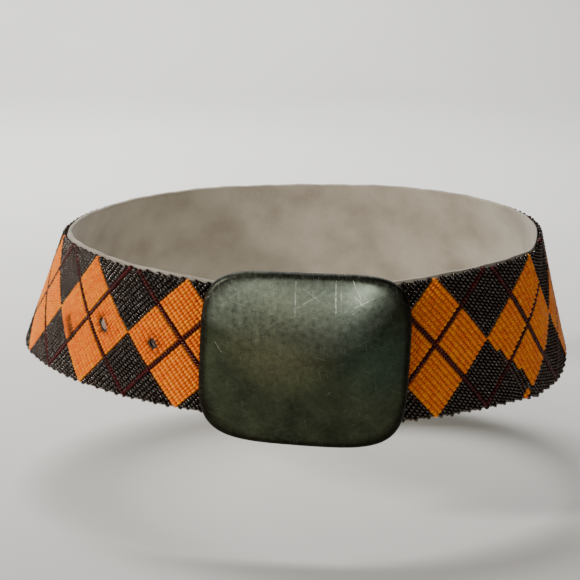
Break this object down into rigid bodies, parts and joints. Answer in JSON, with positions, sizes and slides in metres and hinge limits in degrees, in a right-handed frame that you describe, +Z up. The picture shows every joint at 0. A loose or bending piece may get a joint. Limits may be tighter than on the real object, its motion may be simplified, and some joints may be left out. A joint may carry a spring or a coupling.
{
  "type": "beaded waist belt",
  "caption": "Wide waist belt, fastened as worn: a seed bead face in a diamond pattern on a soft leather backing, with a domed oblong metal plate buckle.",
  "frame": {"origin": "centre of the waist inside the loop, level with the middle of the band at the front, where the belt is worn", "axes": "+X to the viewer's right along the widest way of the loop, -Y out of the buckle at the front, +Z up"},
  "size_m": [0.2507, 0.2299, 0.0754],
  "materials": {
    "orange_seed_beads": "glossy opaque",
    "gunmetal_seed_beads": "glossy, faintly metallic",
    "maroon_seed_beads": "glossy opaque",
    "backing_leather": "soft suede, undyed grey",
    "sewing_thread": "waxed thread",
    "patinated_brass": "dark olive patina, worn and scratched"
  },
  "bodies": {
    "root": {"bead_band": "orange_seed_beads", "backing": "backing_leather", "buckle": "patinated_brass"}
  },
  "joints": []
}
